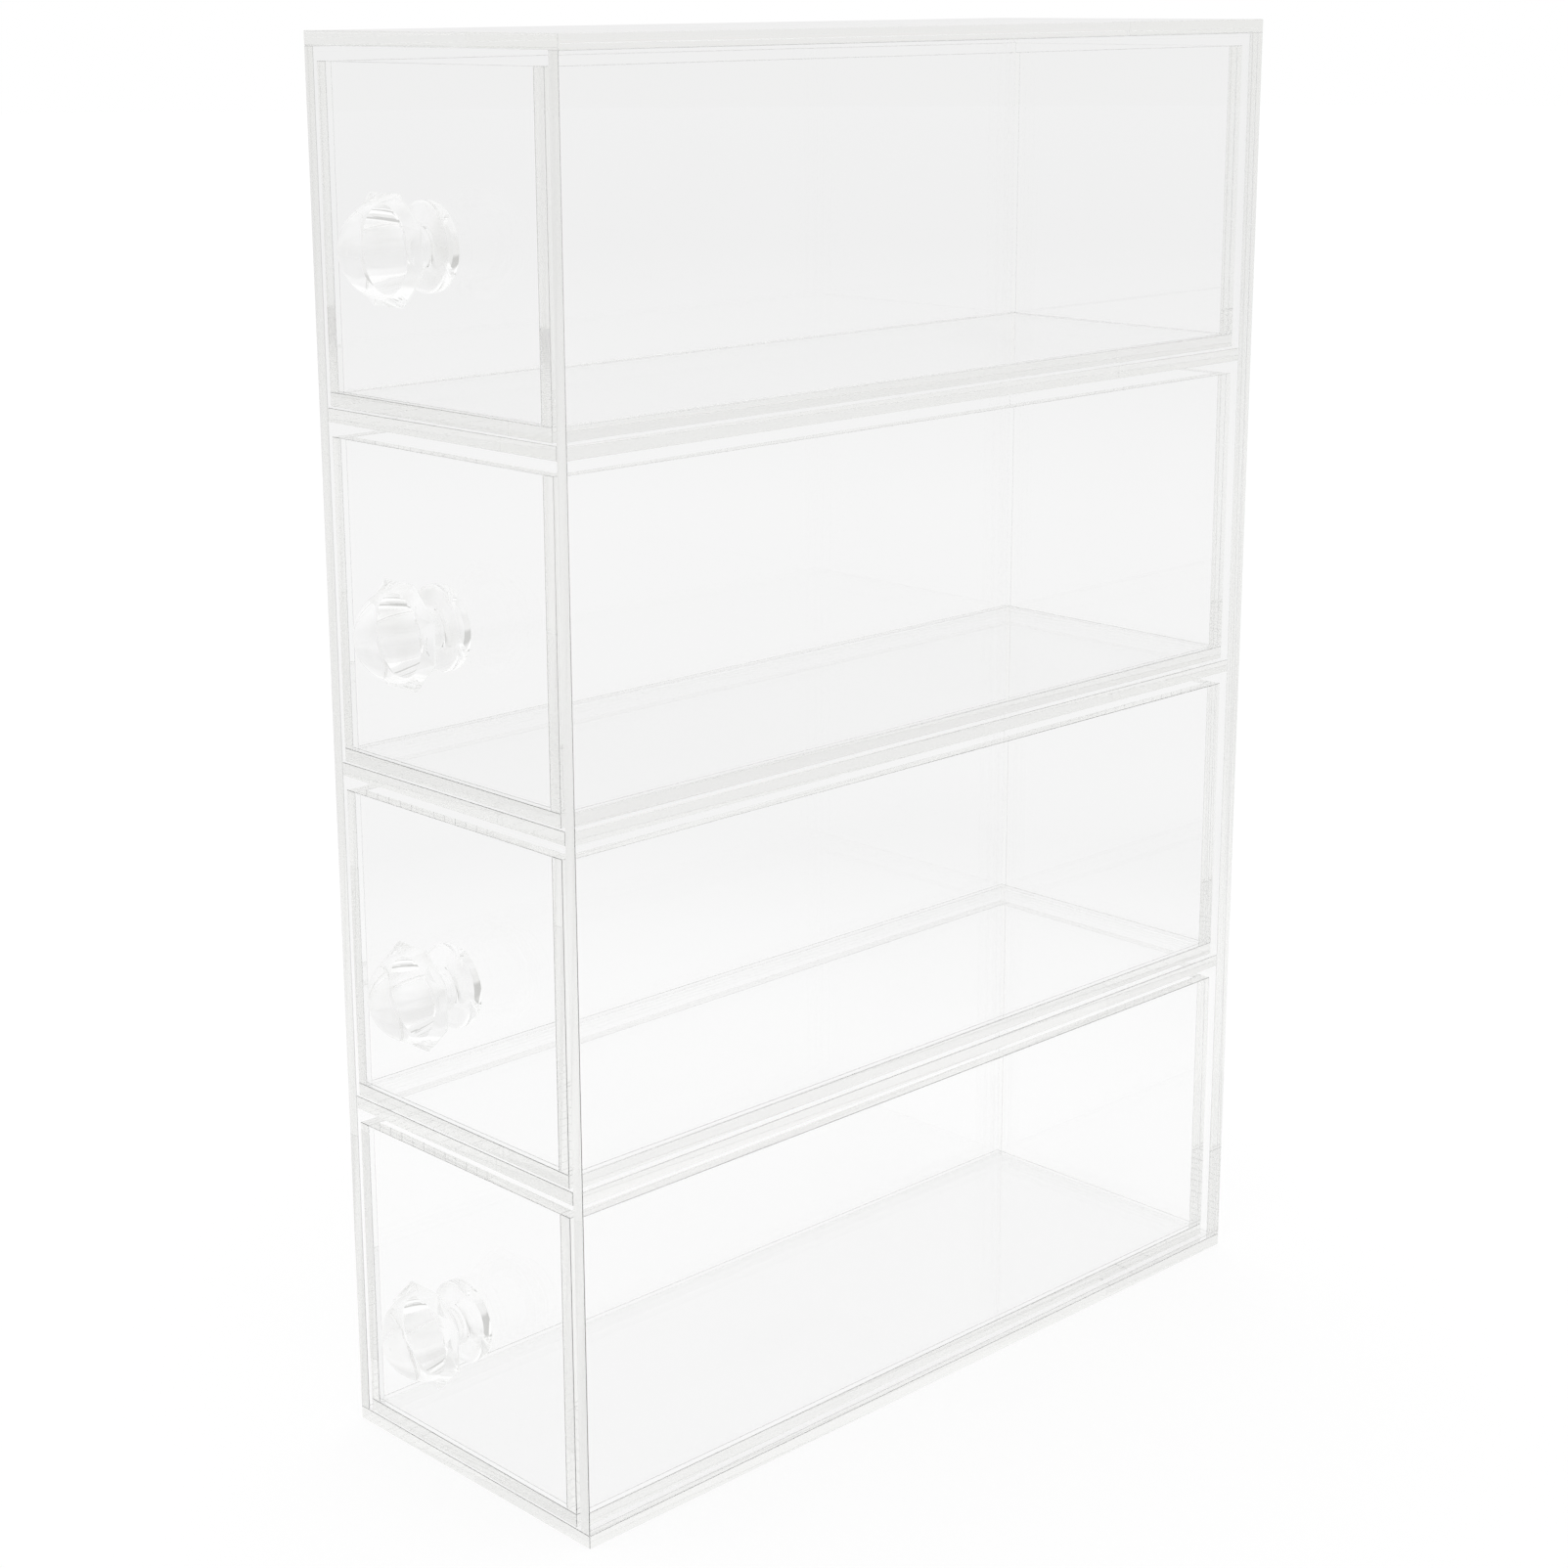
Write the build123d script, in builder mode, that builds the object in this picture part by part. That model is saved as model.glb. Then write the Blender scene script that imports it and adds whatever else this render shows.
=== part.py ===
from build123d import *
import os

# Clear acrylic drawer tower: a glued cabinet, drawers that slide out of its front, a cut knob on each.
# Sizes are in millimetres. The origin is the centre of the cabinet's base, +Z is up, drawers open to -Y.

# Cabinet, measured outside
cabinet_width = 66.0
cabinet_depth = 177.0
cabinet_height = 255.0
cabinet_sheet = 2.5
drawer_count = 4

# Drawers and the room that they run in
drawer_sheet = 2.5
side_clearance = 0.9
head_clearance = 2.4
back_clearance = 1.0
slide_clearance = 0.3

# Polished edge of every sheet
edge_break = 0.1

# Knob: diameters (of the cut facets, across corners), and reaches measured out from the drawer's front
foot_diameter = 15.0
foot_thickness = 1.4
waist_diameter = 6.4
waist_start_reach = 2.6
waist_end_reach = 4.0
stem_diameter = 9.4
stem_end_reach = 7.6
stem_corner_spare = 0.45
stem_corner_cut = 0.2
rim_diameter = 19.6
rim_start_reach = 8.6
rim_end_reach = 9.0
rim_corner_spare = 0.15
crown_diameter = 16.4
crown_corner_cut = 0.85
crown_reach = 10.9
dome_diameter = 16.2
facet_count = 8

# Places that follow from the sizes above
left_x = -cabinet_width / 2
right_x = cabinet_width / 2
front_y = -cabinet_depth / 2
back_y = cabinet_depth / 2
bay_left_x = left_x + cabinet_sheet
bay_right_x = right_x - cabinet_sheet
bay_back_y = back_y - cabinet_sheet
bay_height = (cabinet_height - (drawer_count + 1) * cabinet_sheet) / drawer_count
bay_pitch = bay_height + cabinet_sheet

os.makedirs("parts", exist_ok=True)


def write_piece(piece, name):
    """Label a finished piece and write it under its own name."""
    piece.label = name
    export_step(piece, f"parts/{name}.step")


def write_sheet(name, x, y, z):
    """Write one flat sheet that fills the spans x, y and z, with all its edges broken."""
    with BuildPart() as sheet:
        with BuildSketch(Plane.XY.offset(z[0])):
            with Locations(((x[0] + x[1]) / 2, (y[0] + y[1]) / 2)):
                Rectangle(x[1] - x[0], y[1] - y[0])
        extrude(amount=z[1] - z[0])
        chamfer(sheet.edges(), length=edge_break)
    write_piece(sheet.part, name)


def cut_band(seat, reaches, corner_radii, trim_radii):
    """Return one cut band of a knob's head: wide facets, and narrow ones that trim the corners between them."""
    half_facet = 180 / facet_count
    with BuildPart() as band:
        for reach, radius in zip(reaches, corner_radii):
            with BuildSketch(seat.offset(reach)):
                RegularPolygon(radius, facet_count, rotation=half_facet)
        loft(ruled=True)
        for reach, radius in zip(reaches, trim_radii):
            with BuildSketch(seat.offset(reach)):
                RegularPolygon(radius, facet_count, major_radius=False)
        loft(ruled=True, mode=Mode.INTERSECT)
    return band.part


def write_knob(name, height):
    """Write one knob, seated on the drawer's front at the given height."""
    seat = Plane(origin=(0, front_y, height), x_dir=(1, 0, 0), z_dir=(0, -1, 0))
    profile = Plane(origin=seat.origin, x_dir=seat.x_dir, z_dir=(0, 0, -1))
    axis = Axis(seat.origin, seat.z_dir)
    foot_radius = foot_diameter / 2
    waist_radius = waist_diameter / 2
    stem_radius = stem_diameter / 2
    stem_corner = stem_radius + stem_corner_spare
    rim_radius = rim_diameter / 2
    rim_trim = rim_radius + rim_corner_spare
    crown_radius = crown_diameter / 2
    dome_radius = dome_diameter / 2
    dome_reach = rim_start_reach + dome_radius
    half_facet = 180 / facet_count
    with BuildPart() as knob:
        # Cut head: facets from the stem out to the rim, a narrow upright rim, facets in from the rim
        back_reaches = (stem_end_reach, rim_start_reach)
        back_trims = (stem_corner - stem_corner_cut, rim_trim)
        add(cut_band(seat, back_reaches, (stem_corner, rim_radius), back_trims))
        with BuildSketch(seat.offset(rim_start_reach)):
            RegularPolygon(rim_radius, facet_count, rotation=half_facet)
        extrude(amount=rim_end_reach - rim_start_reach)
        crown_reaches = (rim_end_reach, crown_reach)
        crown_trims = (rim_trim, crown_radius - crown_corner_cut)
        add(cut_band(seat, crown_reaches, (rim_radius, crown_radius), crown_trims))
        # Round dome that stands out of the facets
        with BuildSketch(profile):
            with BuildLine():
                Polyline((0, dome_reach), (0, rim_start_reach), (dome_radius, rim_start_reach))
                CenterArc((0, rim_start_reach), dome_radius, 0, 90)
            make_face()
        revolve(axis=axis)
        # Round foot, sloping in to the waist, and the stem that flares out to the head
        with BuildSketch(profile):
            with BuildLine():
                Polyline(
                    (0, 0),
                    (foot_radius, 0),
                    (foot_radius, foot_thickness),
                    (waist_radius, waist_start_reach),
                    (waist_radius, waist_end_reach),
                    (stem_radius, stem_end_reach),
                    (0, stem_end_reach),
                    close=True,
                )
            make_face()
        revolve(axis=axis)
    write_piece(knob.part, name)


def write_cabinet():
    """Write the fixed sheets: top and bottom over the whole footprint, the rest between them."""
    footprint_x = (left_x, right_x)
    footprint_y = (front_y, back_y)
    wall_z = (cabinet_sheet, cabinet_height - cabinet_sheet)
    bay_x = (bay_left_x, bay_right_x)
    write_sheet("cabinet_bottom", footprint_x, footprint_y, (0, wall_z[0]))
    write_sheet("cabinet_top", footprint_x, footprint_y, (wall_z[1], cabinet_height))
    write_sheet("cabinet_left_side", (left_x, bay_left_x), footprint_y, wall_z)
    write_sheet("cabinet_right_side", (bay_right_x, right_x), footprint_y, wall_z)
    write_sheet("cabinet_back", bay_x, (bay_back_y, back_y), wall_z)
    for number in range(1, drawer_count):
        shelf_top = cabinet_height - number * bay_pitch
        shelf_z = (shelf_top - cabinet_sheet, shelf_top)
        write_sheet(f"shelf_{number}", bay_x, (front_y, bay_back_y), shelf_z)


def write_drawer(number):
    """Write one drawer, counted from the top: four walls on a full bottom, and its knob."""
    bay_floor = cabinet_height - number * bay_pitch
    low_x = bay_left_x + side_clearance
    high_x = bay_right_x - side_clearance
    rear_y = bay_back_y - back_clearance
    bottom_z = bay_floor + slide_clearance
    rim_z = bay_floor + bay_height - head_clearance
    inner_x = (low_x + drawer_sheet, high_x - drawer_sheet)
    length_y = (front_y, rear_y)
    wall_z = (bottom_z + drawer_sheet, rim_z)
    write_sheet(f"drawer_{number}_bottom", (low_x, high_x), length_y, (bottom_z, wall_z[0]))
    write_sheet(f"drawer_{number}_left_side", (low_x, inner_x[0]), length_y, wall_z)
    write_sheet(f"drawer_{number}_right_side", (inner_x[1], high_x), length_y, wall_z)
    write_sheet(f"drawer_{number}_front", inner_x, (front_y, front_y + drawer_sheet), wall_z)
    write_sheet(f"drawer_{number}_back", inner_x, (rear_y - drawer_sheet, rear_y), wall_z)
    write_knob(f"drawer_{number}_knob", (bottom_z + rim_z) / 2)


write_cabinet()
for drawer_number in range(1, drawer_count + 1):
    write_drawer(drawer_number)
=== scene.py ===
import math

import bpy
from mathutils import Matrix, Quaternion, Vector


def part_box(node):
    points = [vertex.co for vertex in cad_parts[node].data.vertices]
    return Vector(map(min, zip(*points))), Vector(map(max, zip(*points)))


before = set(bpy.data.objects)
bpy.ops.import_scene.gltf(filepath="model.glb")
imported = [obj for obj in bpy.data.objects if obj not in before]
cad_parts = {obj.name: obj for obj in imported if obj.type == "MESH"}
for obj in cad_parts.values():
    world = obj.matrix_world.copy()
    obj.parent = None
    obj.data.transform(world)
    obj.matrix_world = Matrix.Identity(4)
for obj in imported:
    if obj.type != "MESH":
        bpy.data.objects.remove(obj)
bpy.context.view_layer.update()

# Clear acrylic drawer tower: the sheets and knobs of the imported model, finished as clear acrylic.
# Lengths are in metres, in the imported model's frame: +Z up, drawers open to -Y.

scene = bpy.context.scene
scene.view_settings.view_transform = "Standard"

# Light runs the length of a sheet in many small bounces, and through many sheets in a row
LONGEST_PATH = 256
scene.cycles.max_bounces = LONGEST_PATH
scene.cycles.glossy_bounces = LONGEST_PATH
scene.cycles.transmission_bounces = LONGEST_PATH
scene.cycles.transparent_max_bounces = LONGEST_PATH

# Camera, at the photograph's viewing angle
EYE = Vector((0.37363, -0.37446, 0.26178))
VIEW_TURN = math.radians(46.407)
VIEW_DOWN = math.radians(14.164)
VIEW_ROLL = math.radians(-0.349)
LENS = 65.72
SENSOR_WIDTH = 36.0
SHIFT = (0.0245, -0.0484)
NEAREST_SEEN = 0.01
FARTHEST_SEEN = 50.0

# Studio: what the camera sees of it is plain white, and what shows in the acrylic is the shades below
WHITE = (1.0, 1.0, 1.0, 1.0)
# Walls, by how far they face the view (-1 behind the camera, 1 behind the object)
WALL_SHADES = (
    (-1.0, (0.88, 0.88, 0.875)),
    (-0.5, (0.88, 0.88, 0.875)),
    (-0.16, (0.868, 0.868, 0.862)),
    (0.24, (0.868, 0.868, 0.862)),
    (0.6, (0.87, 0.87, 0.87)),
    (1.0, (0.87, 0.87, 0.87)),
)
# Band above the walls, grey on the camera's side and near white on the object's side
BAND_SHADES = (
    (-1.0, (0.62, 0.62, 0.61)),
    (-0.4, (0.62, 0.62, 0.61)),
    (-0.15, (0.90, 0.90, 0.90)),
    (1.0, (0.95, 0.95, 0.95)),
)
CEILING = (1.05, 1.05, 1.05, 1.0)
# Where the walls give way to the band, and the band to the ceiling, as sines of the height angle
BAND_RISE = (0.26, 0.34)
CEILING_RISE = (0.50, 0.56)

# Floor, by distance from the middle of the object. Its glow is painted light: brightest close to the
# object, a painted shadow ring about 0.35 m out, and greyer further off
FLOOR_RADIUS = 6.0
FLOOR_SIDES = 96
FLOOR_PAINTED_LIGHT = (
    (0.0, 0.99),
    (0.15, 0.975),
    (0.26, 0.93),
    (0.345, 0.872),
    (0.44, 0.89),
    (0.95, 0.895),
    (1.4, 0.865),
    (2.5, 0.835),
    (6.0, 0.845),
)
FLOOR_GLOW = 0.90
FLOOR_MATT = (0.12, 0.12, 0.12, 1.0)

# Acrylic: clear faces, and cut edges that look greyer and a little olive
ACRYLIC_IOR = 1.49
CLEAR_FACE = (1.0, 1.0, 1.0, 1.0)
CUT_EDGE_SHADES = {
    ("cabinet", "side"): 0.915,
    ("cabinet", "front"): 0.93,
    ("cabinet", "level"): 0.945,
    ("drawer", "side"): 0.95,
    ("drawer", "front"): 0.94,
    ("drawer", "level"): 0.92,
}
CUT_EDGE_OLIVE = 0.012
CUT_EDGE_SPECKLE = 0.004
# Broken corners are satin, and their darker olive grey tint is painted shade that darkens the lines where
# sheets meet
CORNER_PAINTED_SHADES = {"side": 0.55, "front": 0.85, "level": 0.88}
CORNER_ROUGHNESS = {"side": 0.22, "front": 0.32, "level": 0.22}

# Which way a sheet lies, and the direction through its thickness
SHEET_TURNS = {"side": (1.0, 0.0, 0.0), "front": (0.0, 1.0, 0.0), "level": (0.0, 0.0, 1.0)}
# A face is cut where it turns away from that direction, and broken where it slants between two of them
CUT_START, CUT_FULL = 0.5, 0.3
BROKEN_START, BROKEN_FULL = 1.1, 1.3

# Marks: smudges on faces, the cutter's speckle on edges, and what handling leaves on knobs
MARK_DETAIL = 1.0
MARK_START, MARK_FULL = 0.45, 0.75
CUTTER_STRETCH = 0.85
SMUDGE_FINENESS = 30.0
SMUDGE_ROUGHNESS = 0.03
SPECKLE_FINENESS = 900.0
KNOB_FINENESS = 160.0
KNOB_TINT = (0.89, 0.89, 0.878, 1.0)
KNOB_ROUGHNESS = 0.03

# Glued joints stay open by a hair, so that each sheet keeps its own faces
WELD_REACH = 0.00001
GLUE_LINE = 0.00003


def add_node(tree, kind, **settings):
    """Add a node and set its own properties."""
    node = tree.nodes.new(kind)
    for name, value in settings.items():
        setattr(node, name, value)
    return node


def join(tree, source, target):
    """Link an output socket to an input socket, or set the input to a plain value."""
    if hasattr(source, "is_output"):
        tree.links.new(source, target)
    else:
        target.default_value = source


def maths(tree, operation, *values):
    """Add a maths node on the given sockets or numbers and return its result."""
    node = add_node(tree, "ShaderNodeMath", operation=operation)
    for value, socket in zip(values, node.inputs):
        join(tree, value, socket)
    return node.outputs[0]


def vectors(tree, operation, *values, result="Vector"):
    """Add a vector maths node and return the named result."""
    node = add_node(tree, "ShaderNodeVectorMath", operation=operation)
    for value, socket in zip(values, node.inputs):
        join(tree, value, socket)
    return node.outputs[result]


def spread(tree, value, low, high, to_low=0.0, to_high=1.0):
    """Map low..high onto to_low..to_high, held at both ends."""
    node = add_node(tree, "ShaderNodeMapRange")
    for name, given in (("Value", value), ("From Min", low), ("From Max", high),
                        ("To Min", to_low), ("To Max", to_high)):
        join(tree, given, node.inputs[name])
    return node.outputs["Result"]


def blend(tree, share, first, second):
    """Mix two colours by a share and return the result."""
    node = add_node(tree, "ShaderNodeMix", data_type="RGBA")
    slots = [socket for socket in node.inputs if socket.enabled]
    for given, socket in zip((share, first, second), slots):
        join(tree, given, socket)
    return [socket for socket in node.outputs if socket.enabled][0]


def shades(tree, value, stops):
    """Run a value through a colour ramp whose stops are (place from 0 to 1, colour)."""
    node = add_node(tree, "ShaderNodeValToRGB")
    elements = node.color_ramp.elements
    elements[0].position, elements[0].color = stops[0][0], (*stops[0][1], 1)
    elements[1].position, elements[1].color = stops[-1][0], (*stops[-1][1], 1)
    for place, colour in stops[1:-1]:
        elements.new(place).color = (*colour, 1)
    join(tree, value, node.inputs["Fac"])
    return node.outputs["Color"]


def texture_place(tree, kind):
    """Return one kind of texture coordinate."""
    return add_node(tree, "ShaderNodeTexCoord").outputs[kind]


def white_to_camera(tree, colour):
    """Show plain white to the camera itself, and the given colour to all other light."""
    path = add_node(tree, "ShaderNodeLightPath")
    return blend(tree, path.outputs["Is Camera Ray"], colour, WHITE)


def make_camera():
    """Set the camera where the photograph was taken from."""
    data = bpy.data.cameras.new("camera")
    data.sensor_width = SENSOR_WIDTH
    data.lens = LENS
    data.shift_x, data.shift_y = SHIFT
    data.clip_start, data.clip_end = NEAREST_SEEN, FARTHEST_SEEN
    camera = bpy.data.objects.new("camera", data)
    scene.collection.objects.link(camera)
    line = Vector((
        -math.sin(VIEW_TURN) * math.cos(VIEW_DOWN),
        math.cos(VIEW_TURN) * math.cos(VIEW_DOWN),
        -math.sin(VIEW_DOWN),
    ))
    camera.location = EYE
    camera.rotation_mode = "QUATERNION"
    camera.rotation_quaternion = line.to_track_quat("-Z", "Y") @ Quaternion((0, 0, 1), VIEW_ROLL)
    scene.camera = camera


def make_studio():
    """Pale walls all round, a band above them and a white ceiling, which light the object softly."""
    studio = bpy.data.worlds.new("studio")
    scene.world = studio
    studio.use_nodes = True
    tree = studio.node_tree
    tree.nodes.clear()
    way = texture_place(tree, "Generated")
    facing = (-math.sin(VIEW_TURN), math.cos(VIEW_TURN), 0.0)
    towards = vectors(tree, "DOT_PRODUCT", way, facing, result="Value")
    share = spread(tree, towards, -1.0, 1.0)
    walls = shades(tree, share, [((place + 1) / 2, colour) for place, colour in WALL_SHADES])
    band = shades(tree, share, [((place + 1) / 2, colour) for place, colour in BAND_SHADES])
    split = add_node(tree, "ShaderNodeSeparateXYZ")
    join(tree, way, split.inputs["Vector"])
    upper = blend(tree, spread(tree, split.outputs["Z"], *CEILING_RISE), band, CEILING)
    room = blend(tree, spread(tree, split.outputs["Z"], *BAND_RISE), walls, upper)
    light = add_node(tree, "ShaderNodeBackground")
    join(tree, white_to_camera(tree, room), light.inputs["Color"])
    output = add_node(tree, "ShaderNodeOutputWorld")
    join(tree, light.outputs["Background"], output.inputs["Surface"])


def white_table():
    """Floor material: it glows at an even strength with painted light, brightest near the object with a
    painted shadow ring, is a little matt so that shadows show, and greys with distance.
    """
    material = bpy.data.materials.new("white_table")
    material.use_nodes = True
    tree = material.node_tree
    tree.nodes.clear()
    reach = vectors(tree, "LENGTH", texture_place(tree, "Object"), result="Value")
    stops = [(distance / FLOOR_RADIUS, (shade,) * 3) for distance, shade in FLOOR_PAINTED_LIGHT]
    # Painted light on the floor: brighter close to the object, a painted shadow ring, greyer far off
    painted_floor_light = shades(tree, maths(tree, "DIVIDE", reach, FLOOR_RADIUS), stops)
    glow = add_node(tree, "ShaderNodeEmission")
    glow.inputs["Strength"].default_value = FLOOR_GLOW
    join(tree, white_to_camera(tree, painted_floor_light), glow.inputs["Color"])
    matt = add_node(tree, "ShaderNodeBsdfDiffuse")
    matt.inputs["Color"].default_value = FLOOR_MATT
    both = add_node(tree, "ShaderNodeAddShader")
    join(tree, matt.outputs["BSDF"], both.inputs[0])
    join(tree, glow.outputs["Emission"], both.inputs[1])
    output = add_node(tree, "ShaderNodeOutputMaterial")
    join(tree, both.outputs["Shader"], output.inputs["Surface"])
    return material


def make_floor():
    """A wide round table top, level with the underside of the object."""
    turns = [2 * math.pi * number / FLOOR_SIDES for number in range(FLOOR_SIDES)]
    rim = [(FLOOR_RADIUS * math.cos(turn), FLOOR_RADIUS * math.sin(turn), 0.0) for turn in turns]
    mesh = bpy.data.meshes.new("floor")
    mesh.from_pydata(rim, [], [list(range(FLOOR_SIDES))])
    mesh.materials.append(white_table())
    floor = bpy.data.objects.new("floor", mesh)
    scene.collection.objects.link(floor)


def new_group(name, inputs, outputs):
    """Start a shader node group with named sockets; inputs are (name, kind, starting value)."""
    group = bpy.data.node_groups.new(name, "ShaderNodeTree")
    for label, kind, value in inputs:
        socket = group.interface.new_socket(label, in_out="INPUT", socket_type=kind)
        socket.default_value = value
    for label, kind in outputs:
        group.interface.new_socket(label, in_out="OUTPUT", socket_type=kind)
    return group, add_node(group, "NodeGroupInput"), add_node(group, "NodeGroupOutput")


def handling_marks_group():
    """Soft-edged marks of a given fineness: smudges on a polished face, speckle on a cut edge."""
    group, given, result = new_group(
        "handling_marks",
        (
            ("Place", "NodeSocketVector", (0.0, 0.0, 0.0)),
            ("Fineness", "NodeSocketFloat", SMUDGE_FINENESS),
        ),
        (("Mark", "NodeSocketFloat"),),
    )
    cloud = add_node(group, "ShaderNodeTexNoise")
    cloud.inputs["Detail"].default_value = MARK_DETAIL
    join(group, given.outputs["Place"], cloud.inputs["Vector"])
    join(group, given.outputs["Fineness"], cloud.inputs["Scale"])
    mark = spread(group, cloud.outputs["Fac"], MARK_START, MARK_FULL)
    join(group, mark, result.inputs["Mark"])
    return group


def cut_edges_group():
    """Where a sheet's cut edges are, and where their corners are broken."""
    group, given, result = new_group(
        "cut_edges",
        (("Across Sheet", "NodeSocketVector", SHEET_TURNS["level"]),),
        (("Cut", "NodeSocketFloat"), ("Broken", "NodeSocketFloat")),
    )
    facing = vectors(group, "ABSOLUTE", texture_place(group, "Normal"))
    flat = vectors(group, "DOT_PRODUCT", facing, given.outputs["Across Sheet"], result="Value")
    slant = vectors(group, "DOT_PRODUCT", facing, (1.0, 1.0, 1.0), result="Value")
    join(group, spread(group, flat, CUT_START, CUT_FULL), result.inputs["Cut"])
    join(group, spread(group, slant, BROKEN_START, BROKEN_FULL), result.inputs["Broken"])
    return group


HANDLING_MARKS = handling_marks_group()
CUT_EDGES = cut_edges_group()


def place_group(tree, group, **values):
    """Place a shared group in a material and set its inputs to sockets or plain values."""
    node = add_node(tree, "ShaderNodeGroup", node_tree=group)
    for name, value in values.items():
        join(tree, value, node.inputs[name.replace("_", " ")])
    return node


def start_acrylic(name):
    """A material of clear acrylic, without its surface marks."""
    material = bpy.data.materials.new(name)
    material.use_nodes = True
    tree = material.node_tree
    tree.nodes.clear()
    shader = add_node(tree, "ShaderNodeBsdfPrincipled")
    shader.inputs["IOR"].default_value = ACRYLIC_IOR
    shader.inputs["Transmission Weight"].default_value = 1.0
    output = add_node(tree, "ShaderNodeOutputMaterial")
    join(tree, shader.outputs["BSDF"], output.inputs["Surface"])
    return material, tree, shader


def edge_tint(shade):
    """The olive grey of a cut edge at the given shade."""
    return (shade, shade, shade - CUT_EDGE_OLIVE, 1.0)


def sheet_acrylic(kind, turn):
    """Clear sheet: smudged polished faces, speckled cut edges, and satin corners where they are broken,
    tinted darker as painted shade along the joint lines.
    """
    material, tree, shader = start_acrylic(f"{kind}_{turn}_acrylic")
    across = SHEET_TURNS[turn]
    edges = place_group(tree, CUT_EDGES, Across_Sheet=across)
    cut, broken = edges.outputs["Cut"], edges.outputs["Broken"]
    # The cutter's marks run straight through the sheet
    stretch = tuple(1.0 - CUTTER_STRETCH * part for part in across)
    place = vectors(tree, "MULTIPLY", texture_place(tree, "Object"), stretch)
    fineness = spread(tree, cut, 0.0, 1.0, SMUDGE_FINENESS, SPECKLE_FINENESS)
    mark = place_group(tree, HANDLING_MARKS, Place=place, Fineness=fineness).outputs["Mark"]
    shade = CUT_EDGE_SHADES[kind, turn]
    edge = blend(tree, mark, edge_tint(shade), edge_tint(shade - CUT_EDGE_SPECKLE))
    sheet = blend(tree, cut, CLEAR_FACE, edge)
    # Painted shade: broken corners get a darker olive grey tint that darkens the joint lines
    colour = blend(tree, broken, sheet, edge_tint(CORNER_PAINTED_SHADES[turn]))
    join(tree, colour, shader.inputs["Base Color"])
    smudge = maths(tree, "MULTIPLY", mark, spread(tree, cut, 0.0, 1.0, SMUDGE_ROUGHNESS, 0.0))
    satin = maths(tree, "MULTIPLY", broken, CORNER_ROUGHNESS[turn])
    join(tree, maths(tree, "MAXIMUM", smudge, satin), shader.inputs["Roughness"])
    return material


def knob_acrylic():
    """Clear cut knob with polished facets."""
    material, tree, shader = start_acrylic("knob_clear_acrylic")
    place = texture_place(tree, "Object")
    mark = place_group(tree, HANDLING_MARKS, Place=place, Fineness=KNOB_FINENESS).outputs["Mark"]
    join(tree, blend(tree, mark, CLEAR_FACE, KNOB_TINT), shader.inputs["Base Color"])
    join(tree, maths(tree, "MULTIPLY", mark, KNOB_ROUGHNESS), shader.inputs["Roughness"])
    return material


def sheet_turn(name):
    """Which way a sheet lies, from the direction in which it is thinnest."""
    low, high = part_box(name)
    sizes = [high[axis] - low[axis] for axis in range(3)]
    return list(SHEET_TURNS)[sizes.index(min(sizes))]


def finish_pieces():
    """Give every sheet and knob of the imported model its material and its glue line."""
    finishes = {sort: sheet_acrylic(*sort) for sort in CUT_EDGE_SHADES}
    knob = knob_acrylic()
    for name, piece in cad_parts.items():
        kind = "drawer" if name.startswith("drawer") else "cabinet"
        finish = knob if name.endswith("_knob") else finishes[kind, sheet_turn(name)]
        piece.data.materials.clear()
        piece.data.materials.append(finish)
        weld = piece.modifiers.new("closed_corners", "WELD")
        weld.merge_threshold = WELD_REACH
        glue = piece.modifiers.new("glue_line", "DISPLACE")
        glue.mid_level = 0.0
        glue.strength = -GLUE_LINE


make_camera()
make_studio()
make_floor()
finish_pieces()
